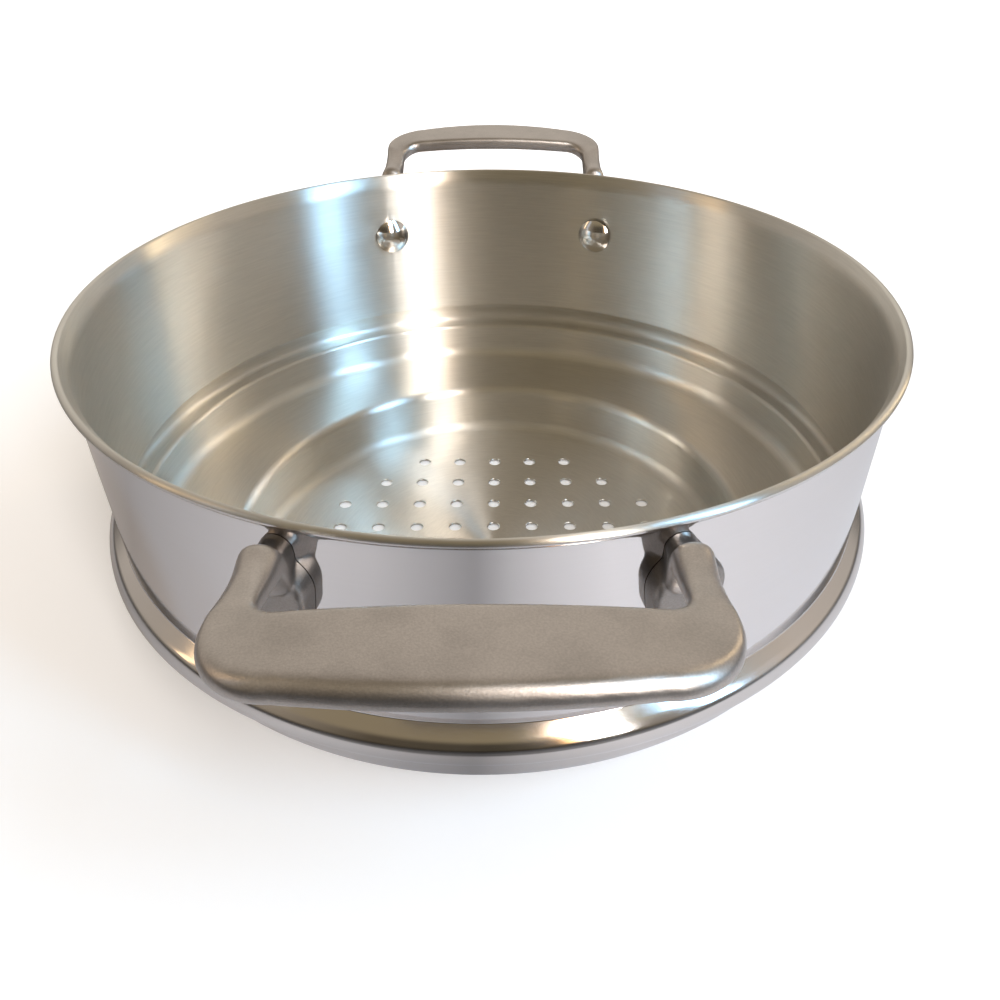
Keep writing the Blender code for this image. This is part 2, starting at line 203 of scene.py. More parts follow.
# Brushed and buffed sheet: line spacings, breaks in a radian, tones between lines, roughness
BRUSH_SPACING = 0.0006
BRUSH_BREAKS = 9.0
BAND_SPACING = 0.0060
BAND_BREAKS = 2.0
BRUSH_TONE = 0.80
BRUSHED_ROUGHNESS = (0.288, 0.33)
STAINS_PER_METRE = 24.0
STAIN_ROUGHNESS = 0.03
FLOOR_FINISH = (0.001, 0.006)
FLOOR_ROUGHNESS = 0.13
FLOOR_ANISOTROPY = 0.92
BUFF_SPACING = 0.0006
BUFF_BREAKS = 6.0
BUFF_TONE = 0.96
WIPES_PER_METRE = 65.0
WIPED_ROUGHER = 1.8
WAVES_PER_METRE = 42.0

# Castings: grain and clouds, roughness, and painted shade near the wall by distance from the axis
GRAINS_PER_METRE = 2800.0
GRAIN_TONES = (0.90, 1.06)
CLOUDS_PER_METRE = 120.0
CLOUD_TONE = 0.88
CAST_ROUGHNESS = (0.345, 0.39)
RUBBED_SMOOTHER = 0.06
NEAR_WALL_SHADE_REACH = 0.1025
NEAR_WALL_SHADE_END = 0.1095
NEAR_WALL_SHADE_TONE = 0.55

# Node settings, and the values that most of a noise lies between
ADD = {"operation": "ADD"}
MULTIPLY = {"operation": "MULTIPLY"}
SMOOTH = {"interpolation_type": "SMOOTHSTEP"}
MIX = {"data_type": "RGBA"}
TINT = {"data_type": "RGBA", "blend_type": "MULTIPLY"}
NOISE_LOW, NOISE_HIGH = 0.3, 0.7


def linear(hex_colour):
    """Linear RGBA of an sRGB hex colour."""
    channels = [int(hex_colour[place:place + 2], 16) / 255 for place in (1, 3, 5)]
    low = [channel / 12.92 for channel in channels]
    high = [((channel + 0.055) / 1.055) ** 2.4 for channel in channels]
    return tuple(a if c <= 0.04045 else b for a, b, c in zip(low, high, channels)) + (1.0,)


def length_setting(name, description, default):
    """Setting for a length, shown to a tenth of a millimetre."""
    return FloatProperty(
        name=name, description=description, default=default, unit="LENGTH", precision=4,
    )


def colour_setting(name, description, default):
    """Setting for a colour, from its sRGB hex colour."""
    return FloatVectorProperty(
        name=name, description=description, default=linear(default), subtype="COLOR", size=4,
        min=0.0, max=1.0,
    )


class BowlSettings(bpy.types.PropertyGroup):
    """Sizes and colours of the bowl."""

    height: length_setting("Height", "Underside of the floor to the top of the rim", 0.0886)
    sheet: length_setting("Sheet", "Thickness of the drawn sheet", 0.0008)
    rim_radius: length_setting("Rim radius", "Outside of the rolled rim", 0.1031)
    flange_depth: length_setting("Bead depth", "Top of the rim down to the seating bead", 0.0486)
    ledge_depth: length_setting(
        "Ledge depth", "Top of the rim down to the outer edge of the ledge", 0.0690,
    )
    well_radius: length_setting("Well radius", "Inside of the perforated well", 0.0736)
    hole_diameter: length_setting("Hole diameter", "Diameter of a steam hole", 0.0039)
    hole_pitch: length_setting("Hole pitch", "Spacing of the steam holes", 0.0125)
    sides: IntProperty(name="Sides", description="Segments round the bowl", default=240, min=24)
    inside_colour: colour_setting("Inside", "Colour of the brushed inside", "#E8E4DC")
    outside_colour: colour_setting("Outside", "Colour of the mirror-polished outside", "#EAE6E4")
    edge_colour: colour_setting("Edges", "Colour of the polished rim, bead and steps", "#DBD6D2")


class HandleSettings(bpy.types.PropertyGroup):
    """Sizes and colour of the handles."""

    finger_gap: length_setting("Finger gap", "Rim to the inner edge of the grip", 0.0190)
    grip_width: length_setting("Grip width", "Inner to outer edge of the grip", 0.0180)
    grip_span: length_setting("Grip span", "Width of the handle across its arms", 0.0776)
    arm_spacing: length_setting("Arm spacing", "Between the middles of the arms", 0.0711)
    arm_width: length_setting("Arm width", "Width of an arm", 0.0071)
    arm_thickness: length_setting("Arm thickness", "Thickness of an arm at its knuckle", 0.0082)
    colour: colour_setting("Cast steel", "Colour of the blasted castings", "#C2BAB3")


class RivetSettings(bpy.types.PropertyGroup):
    """Sizes and colour of the rivets."""

    depth: length_setting("Depth", "Top of the rim down to the rivets", 0.0202)
    spacing: length_setting("Spacing", "Between the two rivets of a handle", 0.0723)
    head_diameter: length_setting("Head diameter", "Diameter of a rivet's head", 0.0113)
    head_height: length_setting("Head height", "Height of a rivet's head", 0.0025)
    sides: IntProperty(name="Sides", description="Segments round a rivet", default=72, min=16)
    colour: colour_setting("Polished steel", "Colour of the rivets", "#DEDBD8")


class StageSettings(bpy.types.PropertyGroup):
    """Size and colour of the table."""

    table_radius: length_setting("Table radius", "Radius of the white table", 4.0)
    table_colour: colour_setting("Table", "Colour of the table", "#EDEBEA")


def add_node(tree, kind, settings=None, inputs=None, stops=()):
    """Add a shader node with its settings, inputs and ramp stops.

    An input is a value, or the socket or node that it links from.
    """
    node = tree.nodes.new("ShaderNode" + kind)
    for name, value in (settings or {}).items():
        setattr(node, name, value)
    for name, value in (inputs or {}).items():
        if isinstance(value, bpy.types.Node):
            value = next(socket for socket in value.outputs if socket.enabled)
        if isinstance(value, bpy.types.NodeSocket):
            tree.links.new(value, node.inputs[name])
        else:
            node.inputs[name].default_value = value
    for index, (place, colour) in enumerate(stops):
        if index >= len(node.color_ramp.elements):
            node.color_ramp.elements.new(place)
        node.color_ramp.elements[index].position = place
        node.color_ramp.elements[index].color = colour
    return node


def empty_material(name):
    """Material, its node tree and the object's coordinates, with nothing else in it yet."""
    made = bpy.data.materials.get(name) or bpy.data.materials.new(name)
    made.use_nodes = True
    tree = made.node_tree
    tree.nodes.clear()
    return made, tree, add_node(tree, "TexCoord").outputs["Object"]


def axis_reach(tree, place):
    """The part of a place across the Z axis, and its distance from the axis."""
    flat = add_node(tree, "VectorMath", MULTIPLY, {0: place, 1: (1.0, 1.0, 0.0)})
    return flat, add_node(tree, "VectorMath", {"operation": "LENGTH"}, {0: flat})


def turned_ramp(tree, across, ahead, tones):
    """Colour by heading, from (degrees, colour) pairs between -180 and 180."""
    heading = add_node(tree, "Math", {"operation": "ARCTAN2"}, {0: across, 1: ahead})
    turn = add_node(tree, "MapRange", inputs={
        "Value": heading, "From Min": -math.pi, "From Max": math.pi,
    })
    stops = [((degrees + 180) / 360, colour) for degrees, colour in tones]
    return add_node(tree, "ValToRGB", inputs={"Fac": turn}, stops=stops)


def lathe_lines(tree, place, spacing, breaks):
    """Noise drawn out round the Z axis: lines a spacing apart, with so many breaks in a radian."""
    height = add_node(tree, "SeparateXYZ", inputs={0: place}).outputs["Z"]
    flat, reach = axis_reach(tree, place)
    heading = add_node(tree, "VectorMath", {"operation": "NORMALIZE"}, {0: flat})
    across = add_node(tree, "Math", ADD, {0: height, 1: reach})
    lines = add_node(tree, "Math", {"operation": "DIVIDE"}, {0: across, 1: spacing})
    rise = add_node(tree, "CombineXYZ", inputs={"Z": lines})
    turns = add_node(tree, "VectorMath", {"operation": "SCALE"}, {0: heading, "Scale": breaks})
    vector = add_node(tree, "VectorMath", ADD, {0: turns, 1: rise})
    return add_node(tree, "TexNoise", inputs={
        "Vector": vector, "Scale": 1.0, "Detail": 3.0, "Roughness": 0.6,
    })


def lined_tint(tree, colour, lines, tone):
    """A metal's colour, darkened to a tone between its lines."""
    shade = tuple(channel * tone for channel in colour[:3]) + (1.0,)
    return add_node(tree, "Mix", MIX, {"Factor": lines, "A": shade, "B": tuple(colour)})


def brushed_stainless(colour):
    """18/8 stainless, lathe-brushed: fine rings draw each light out into an upright streak."""
    made, tree, place = empty_material("stainless_18_8_lathe_brushed")
    # Brush marks of about 0.1 mm, drawn 0.6 mm apart so that they show at this distance
    lines = lathe_lines(tree, place, BRUSH_SPACING, BRUSH_BREAKS)
    broad = lathe_lines(tree, place, BAND_SPACING, BAND_BREAKS)
    cloud = add_node(tree, "TexNoise", inputs={
        "Vector": place, "Scale": STAINS_PER_METRE, "Detail": 2.0,
    })
    rough = add_node(tree, "MapRange", inputs={
        "Value": broad, "From Min": NOISE_LOW, "From Max": NOISE_HIGH,
        "To Min": BRUSHED_ROUGHNESS[0], "To Max": BRUSHED_ROUGHNESS[1],
    })
    worn = add_node(tree, "MapRange", inputs={
        "Value": cloud, "From Min": 0.35, "From Max": 0.75, "To Max": STAIN_ROUGHNESS,
    })
    # The floor, brushed before it was pierced, is duller than the wall
    height = add_node(tree, "SeparateXYZ", inputs={0: place}).outputs["Z"]
    dulled, drawn = [
        add_node(tree, "MapRange", inputs={
            "Value": height, "From Min": FLOOR_FINISH[0], "From Max": FLOOR_FINISH[1],
            "To Min": on_floor, "To Max": on_wall,
        })
        for on_floor, on_wall in ((FLOOR_ROUGHNESS, 0.0), (FLOOR_ANISOTROPY, 1.0))
    ]
    added = add_node(tree, "Math", ADD, {0: worn, 1: dulled})
    total = add_node(tree, "Math", ADD, {0: rough, 1: added})
    bump = add_node(tree, "Bump", inputs={"Strength": 0.14, "Distance": 0.00002, "Height": lines})
    shader = add_node(tree, "BsdfPrincipled", inputs={
        "Base Color": lined_tint(tree, colour, lines, BRUSH_TONE), "Metallic": 1.0,
        "Roughness": total, "Anisotropic": drawn, "Anisotropic Rotation": 0.25,
        "Tangent": add_node(tree, "Tangent", {"direction_type": "RADIAL", "axis": "Z"}),
        "Normal": bump,
    })
    add_node(tree, "OutputMaterial", inputs={"Surface": shader})
    return made


def mirror_stainless(name, colour, roughness, wave):
    """18/8 stainless, mirror-buffed: clear reflections with the waver of drawn sheet and wipes."""
    made, tree, place = empty_material(name)
    # Wipe marks about 15 mm across, and buffing lines drawn 0.6 mm apart
    wipes = add_node(tree, "TexNoise", inputs={
        "Vector": place, "Scale": WIPES_PER_METRE, "Detail": 4.0,
    })
    lines = lathe_lines(tree, place, BUFF_SPACING, BUFF_BREAKS)
    swell = add_node(tree, "TexNoise", inputs={
        "Vector": place, "Scale": WAVES_PER_METRE, "Detail": 1.0,
    })
    rough = add_node(tree, "MapRange", inputs={
        "Value": wipes, "From Min": 0.4, "From Max": 0.75,
        "To Min": roughness, "To Max": roughness * WIPED_ROUGHER,
    })
    waver = add_node(tree, "Bump", inputs={"Strength": wave, "Distance": 0.0001, "Height": swell})
    shader = add_node(tree, "BsdfPrincipled", inputs={
        "Base Color": lined_tint(tree, colour, lines, BUFF_TONE), "Metallic": 1.0,
        "Roughness": rough, "Normal": waver,
    })
    add_node(tree, "OutputMaterial", inputs={"Surface": shader})
    return made


def cast_stainless(colour):
    """Cast stainless, bead-blasted: an even satin with a fine grain, rubbed smoother at edges."""
    made, tree, place = empty_material("stainless_cast_bead_blasted")
    # Blasting grit of about 0.15 mm, drawn 0.35 mm apart so that it shows, over clouds of 8 mm
    grain, cloud = [
        add_node(tree, "TexNoise", inputs={"Vector": place, "Scale": scale, "Detail": detail})
        for scale, detail in ((GRAINS_PER_METRE, 2.0), (CLOUDS_PER_METRE, 3.0))
    ]
    edges = add_node(tree, "NewGeometry").outputs["Pointiness"]
    # Painted shade near the wall: the pads and the backs of the knuckles are darkened by their
    # distance from the axis
    reach = axis_reach(tree, place)[1]
    near_wall_shade = add_node(tree, "MapRange", SMOOTH, {
        "Value": reach, "From Min": NEAR_WALL_SHADE_REACH, "From Max": NEAR_WALL_SHADE_END, "To Min": NEAR_WALL_SHADE_TONE,
    })
    clouds, grains, rubbed, rough = [
        add_node(tree, "MapRange", inputs={
            "Value": value, "From Min": low, "From Max": high, "To Min": start, "To Max": end,
        })
        for value, low, high, start, end in (
            (cloud, 0.36, 0.60, CLOUD_TONE, 1.0),
            (grain, NOISE_LOW, NOISE_HIGH, *GRAIN_TONES),
            (edges, 0.53, 0.62, 0.0, 1.0),
            (cloud, NOISE_LOW, NOISE_HIGH, *CAST_ROUGHNESS),
        )
    ]
    mottled = add_node(tree, "Math", MULTIPLY, {0: clouds, 1: grains})
    # Grain and clouds, times the painted shade near the wall
    tone = add_node(tree, "Math", MULTIPLY, {0: mottled, 1: near_wall_shade})
    tint = add_node(tree, "Mix", TINT, {"Factor": 1.0, "A": tuple(colour), "B": tone})
    smoothed = add_node(tree, "Math", {"operation": "MULTIPLY_ADD"}, {
        0: rubbed, 1: -RUBBED_SMOOTHER, 2: rough,
    })
    bump = add_node(tree, "Bump", inputs={"Strength": 0.55, "Distance": 0.00004, "Height": grain})
    shader = add_node(tree, "BsdfPrincipled", inputs={
        "Base Color": tint, "Metallic": 1.0, "Roughness": smoothed, "Normal": bump,
    })
    add_node(tree, "OutputMaterial", inputs={"Surface": shader})
    return made


def white_table(colour):
    """White laminate table: matte white to the camera; the steel sees it in painted light and
    shade.
    """
    made, tree, place = empty_material("laminate_white_matte")
    rays = add_node(tree, "LightPath").outputs
    split = add_node(tree, "SeparateXYZ", inputs={0: place}).outputs
    reach = add_node(tree, "VectorMath", {"operation": "LENGTH"}, {0: place})
    forward = add_node(tree, "Math", MULTIPLY, {0: split["Y"], 1: -1.0})
    # Painted light: the table's tone by heading, lighter on some sides than others
    painted_light_round = turned_ramp(tree, split["X"], forward, [
        (degrees, tuple(tone * channel for channel in TABLE_TINT) + (1.0,))
        for degrees, tone in TABLE_PAINTED_LIGHT
    ])
    # Painted shadow of the photographer in front
    shade = add_node(tree, "MapRange", SMOOTH, {
        "Value": split["Y"], "From Min": SHADE_END, "From Max": SHADE_START, "To Min": SHADE_TONE,
    })
    # The steel sees painted shade that darkens the table far from the axis; the camera sees the
    # open table as plain white, with the basket's shadow on it
    end, open_table = [
        add_node(tree, "MapRange", SMOOTH, {
            "Value": reach, "From Min": near, "From Max": far, "To Min": start, "To Max": last,
        })
        for near, far, start, last in (
            (TABLE_SEEN, TABLE_LOST, 1.0, TABLE_FAR_SHADE_TONE),
            (*OPEN_TABLE, *OPEN_TABLE_GLOW),
        )
    ]
    # Painted light by heading, times the painted shade in front and far from the axis
    painted_table_shade = add_node(tree, "Math", MULTIPLY, {0: shade, 1: end})
    painted_light_and_shade = add_node(tree, "Mix", TINT, {"Factor": 1.0, "A": painted_light_round, "B": painted_table_shade})
    seen = add_node(tree, "Mix", MIX, {
        "Factor": rays["Is Camera Ray"], "A": painted_light_and_shade, "B": tuple(colour),
    })
    for_camera = add_node(tree, "Math", MULTIPLY, {0: rays["Is Camera Ray"], 1: open_table})
    # Mirrors get a little of that lift
    mirrored = add_node(tree, "Math", {"operation": "MAXIMUM"}, {
        0: rays["Is Glossy Ray"], 1: rays["Is Transmission Ray"],
    })
    for_mirrors = add_node(tree, "Math", MULTIPLY, {0: mirrored, 1: MIRRORED_GLOW})
    lift = add_node(tree, "Math", ADD, {0: for_camera, 1: for_mirrors})
    glow = add_node(tree, "Emission", inputs={"Color": WHITE, "Strength": lift})
    matte = add_node(tree, "BsdfDiffuse", inputs={"Color": seen})
    both = add_node(tree, "AddShader", inputs={0: matte, 1: glow})
    add_node(tree, "OutputMaterial", inputs={"Surface": both})
    return made


def new_piece(name, bm, materials):
    """Object from a bmesh, faces turned outward."""
    bmesh.ops.recalc_face_normals(bm, faces=bm.faces)
    if bm.calc_volume(signed=True) < 0:
        bmesh.ops.reverse_faces(bm, faces=bm.faces)
    mesh = bpy.data.meshes.new(name)
    bm.to_mesh(mesh)
    bm.free()
    item = bpy.data.objects.new(name, mesh)
    bpy.context.scene.collection.objects.link(item)
    for made in materials:
        mesh.materials.append(made)
    return item


def bake_modifiers(item):
    """Turn an object's modifiers into its mesh."""
    shaped = item.evaluated_get(bpy.context.evaluated_depsgraph_get())
    mesh = bpy.data.meshes.new_from_object(shaped)
    old = item.data
    item.modifiers.clear()
    item.data = mesh
    bpy.data.meshes.remove(old)


def shape_with(item, operation, tools):
    """Cut an object with tools, or join them to it, and remove them."""
    for tool in tools:
        modifier = item.modifiers.new(tool.name, "BOOLEAN")
        modifier.operation = operation
        modifier.solver = "EXACT"
        modifier.object = tool
    bake_modifiers(item)
    for tool in tools:
        bpy.data.objects.remove(tool, do_unlink=True)
    if not item.data.polygons:
        raise RuntimeError(item.name + " has no faces left")


def soften(item, angle):
    """Shade smooth up to an angle, with the large faces setting the direction of the shading."""
    item.data.shade_smooth()
    item.data.set_sharp_from_angle(angle=angle)
    modifier = item.modifiers.new("even_shading", "WEIGHTED_NORMAL")
    modifier.keep_sharp = True
    modifier.weight = 60
    bake_modifiers(item)


def stand_for(item, node):
    """Let a finished piece stand for a node of the frame."""
    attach(item, "root")
    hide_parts(node)


def blend(start, end, share):
    """Value or point at a share of the way from start to end."""
    return start + (end - start) * share


def arc(centre, radius, start, end, steps):
    """Points of a circular arc in a plane, ends included."""
    angles = [blend(start, end, step / steps) for step in range(steps + 1)]
    return [centre + radius * Vector((math.cos(angle), math.sin(angle))) for angle in angles]


def bend_path(corners):
    """Path with a round bend at each (point, radius, steps): points, each with its left normal."""
    path = []
    for index, (corner, radius, steps) in enumerate(corners):
        if index in (0, len(corners) - 1):
            first = min(index, len(corners) - 2)
            along = (corners[first + 1][0] - corners[first][0]).normalized()
            path.append((corner, Vector((-along.y, along.x))))
            continue
        before = (corner - corners[index - 1][0]).normalized()
        after = (corners[index + 1][0] - corner).normalized()
        turn = math.atan2(before.cross(after), before.dot(after))
        side = math.copysign(1, turn)
        normal = Vector((-before.y, before.x))
        centre = corner - before * radius * math.tan(abs(turn) / 2) + normal * side * radius
        for step in range(steps + 1):
            turned = Matrix.Rotation(turn * step / steps, 2) @ normal
            path.append((centre - turned * side * radius, turned))
    return path


def loft(bm, sections):
    """Closed solid through equal rings of points, capped at both ends. Returns bands of faces."""
    rings = [[bm.verts.new(point) for point in section] for section in sections]
    bands = []
    for lower, upper in zip(rings, rings[1:]):
        band = []
        for index, vertex in enumerate(lower):
            following = (index + 1) % len(lower)
            band.append(bm.faces.new((vertex, lower[following], upper[following], upper[index])))
        bands.append(band)
    bm.faces.new(rings[0])
    bm.faces.new(rings[-1])
    return bands


def turn_profile(bm, profile, sides):
    """Closed solid turned about Z from points (radius, height). Returns its bands of faces."""
    turns = [2 * math.pi * side / sides for side in range(sides)]
    return loft(bm, [
        [(point.x * math.cos(turn), point.x * math.sin(turn), point.y) for turn in turns]
        for point in profile
    ])


class BowlPlaces:
    """Places that follow from the bowl's sizes and the rivets'."""

    def __init__(self, scene):
        bowl = scene.steamer_bowl
        rivets = scene.steamer_rivets
        self.half_sheet = bowl.sheet / 2
        self.wall_top_radius = bowl.rim_radius - WALL_INSET
        self.wall_bottom_radius = self.wall_top_radius - WALL_TAPER
        self.flange_top = bowl.height - bowl.flange_depth - self.half_sheet
        self.ledge_height = bowl.height - bowl.ledge_depth
        self.roll_centre = Vector((
            bowl.rim_radius - RIM_ROLL_RADIUS, bowl.height - RIM_ROLL_RADIUS,
        ))
        self.flare_climb = Vector((math.sin(FLARE_ANGLE), math.cos(FLARE_ANGLE)))
        inward = Vector((-self.flare_climb.y, self.flare_climb.x))
        self.flare_end = self.roll_centre + inward * (RIM_ROLL_RADIUS - self.half_sheet)
        climbed = (self.flare_end.x - self.wall_top_radius + self.half_sheet) / self.flare_climb.x
        self.flare_corner = self.flare_end - self.flare_climb * climbed
        self.floor_flat_radius = bowl.well_radius + self.half_sheet - FLOOR_CORNER
        self.hole_field_radius = self.floor_flat_radius - HOLE_FIELD_MARGIN
        self.rivet_height = bowl.height - rivets.depth
        self.wall_lean = WALL_TAPER / (self.flare_corner.y - self.flange_top)
        below_flare = self.flare_corner.y - self.rivet_height
        self.rivet_reach = self.wall_top_radius - self.wall_lean * below_flare
        self.pad_angle = math.asin(rivets.spacing / 2 / self.rivet_reach)

    def sheet_path(self, bowl):
        """Centre line of the bowl's sheet, from the flat of the floor out and up to the rim."""
        inner_step = bowl.well_radius + self.half_sheet
        outer_step = self.wall_bottom_radius - OUTER_STEP_INSET - self.half_sheet
        nose = self.wall_bottom_radius + FLANGE_OVERHANG - self.half_sheet
        flange_bottom = self.flange_top + bowl.sheet - FLANGE_HEIGHT
        shoulder = self.flange_top - FLANGE_SHOULDER_DROP
        wall = self.wall_bottom_radius - self.half_sheet
        start = (self.hole_field_radius + self.floor_flat_radius) / 2
        return bend_path([
            (Vector((start, self.half_sheet)), 0, 0),
            (Vector((inner_step, self.half_sheet)), FLOOR_CORNER, CORNER_STEPS),
            (Vector((inner_step, self.ledge_height - LEDGE_FALL)), INNER_STEP_EDGE, BEND_STEPS),
            (Vector((outer_step, self.ledge_height)), OUTER_STEP_CORNER, CORNER_STEPS),
            (Vector((outer_step, flange_bottom)), FLANGE_LIP_RADIUS, CREASE_STEPS),
            (Vector((nose, flange_bottom)), FLANGE_NOSE_RADIUS, BEND_STEPS),
            (Vector((nose, shoulder)), FLANGE_SHOULDER_RADIUS, BEND_STEPS),
            (Vector((wall, self.flange_top)), FLANGE_TUCK_RADIUS, CREASE_STEPS),
            (self.flare_corner, FLARE_BEND_RADIUS, BEND_STEPS),
            (self.flare_end, 0, 0),
        ])

    def rivet_place(self, angle):
        """Frame on the wall's outer face at a rivet, Z outward, Y up. Angles turn from +Y to +X."""
        radial = Vector((math.sin(angle), math.cos(angle), 0))
        place = radial * self.rivet_reach + Vector((0, 0, self.rivet_height))
        return Matrix.Translation(place) @ radial.to_track_quat("Z", "Y").to_matrix().to_4x4()

    def rivet_bore(self, angle, start, end):
        """Tool that clears a rivet's shank between two distances out from the wall's outer face."""
        radius = RIVET_SHANK_DIAMETER / 2 + SHANK_CLEARANCE
        bm = bmesh.new()
        turn_profile(bm, [Vector((radius, start)), Vector((radius, end))], BORE_SIDES)
        bore = new_piece("rivet_bore", bm, [])
        bore.matrix_world = self.rivet_place(angle)
        return bore


class STEAMER_OT_bowl(bpy.types.Operator):
    """Build the drawn bowl: perforated well, ledge, seating bead, wall and rolled rim"""

    bl_idname = "steamer.bowl"
    bl_label = "Bowl"

    def hole_cutter(self, bowl, places):
        """Tool of every steam hole, flared at both faces for the rounded edge of a punched hole."""
        radius = bowl.hole_diameter / 2
        profile = [
            Vector((radius + 2 * HOLE_EDGE, -HOLE_EDGE)),
            Vector((radius, HOLE_EDGE)),
            Vector((radius, bowl.sheet - HOLE_EDGE)),
            Vector((radius + 2 * HOLE_EDGE, bowl.sheet + HOLE_EDGE)),
        ]
        bm = bmesh.new()
        reach = int(places.hole_field_radius / bowl.hole_pitch)
        for column, row in itertools.product(range(-reach, reach + 1), repeat=2):
            place = Vector((column * bowl.hole_pitch, row * bowl.hole_pitch, 0))
            if place.length <= places.hole_field_radius:
                before = set(bm.verts)
                turn_profile(bm, profile, HOLE_SIDES)
                bmesh.ops.translate(bm, verts=[v for v in bm.verts if v not in before], vec=place)
        return new_piece("steam_hole_cutter", bm, [])

    def execute(self, context):
        bowl = context.scene.steamer_bowl
        places = BowlPlaces(context.scene)
        path = places.sheet_path(bowl)
        half_sheet = places.half_sheet
        inside = [point + normal * half_sheet for point, normal in path][:-1]
        outside = [point - normal * half_sheet for point, normal in path][-2::-1]
        over_start = math.pi - FLARE_ANGLE
        over = arc(places.roll_centre, RIM_ROLL_RADIUS, over_start, -FLARE_ANGLE, RIM_STEPS)
        under_end = -FLARE_ANGLE - math.acos(bowl.sheet / RIM_ROLL_RADIUS - 1)
        under_centre = places.roll_centre - places.flare_climb * RIM_ROLL_LENGTH
        under = arc(under_centre, RIM_ROLL_RADIUS, -FLARE_ANGLE, under_end, BEND_STEPS)
        materials = [
            brushed_stainless(bowl.inside_colour),
            mirror_stainless(
                "stainless_18_8_mirror_polished", bowl.outside_colour, roughness=0.05, wave=0.20,
            ),
            mirror_stainless(
                "stainless_18_8_rolled_edge_polished", bowl.edge_colour, roughness=0.11, wave=0.12,
            ),
        ]
        bm = bmesh.new()
        bands = turn_profile(bm, inside + over + under + outside, bowl.sides)
        brushed_end = len(inside) + len(over) - RIM_POLISHED_STEPS
        turned = len(inside) + len(over) + len(under) - 1
        for index, band in enumerate(bands):
            finish = BRUSHED if index < brushed_end else EDGE
            if index >= turned and outside[index - turned].y > places.flange_top:
                finish = MIRROR
            for face in band:
                face.material_index = finish
        piece = new_piece("bowl_drawn_sheet", bm, materials)
        cutters = [self.hole_cutter(bowl, places)]
        for handle_turn, hand in itertools.product((0, math.pi), (-1, 1)):
            angle = handle_turn + hand * places.pad_angle
            cutters.append(places.rivet_bore(angle, -bowl.sheet - CUT_OVERRUN, CUT_OVERRUN))
        shape_with(piece, "DIFFERENCE", cutters)
        soften(piece, SHEET_SHARP_ANGLE)
        stand_for(piece, "basket_body")
        return {"FINISHED"}


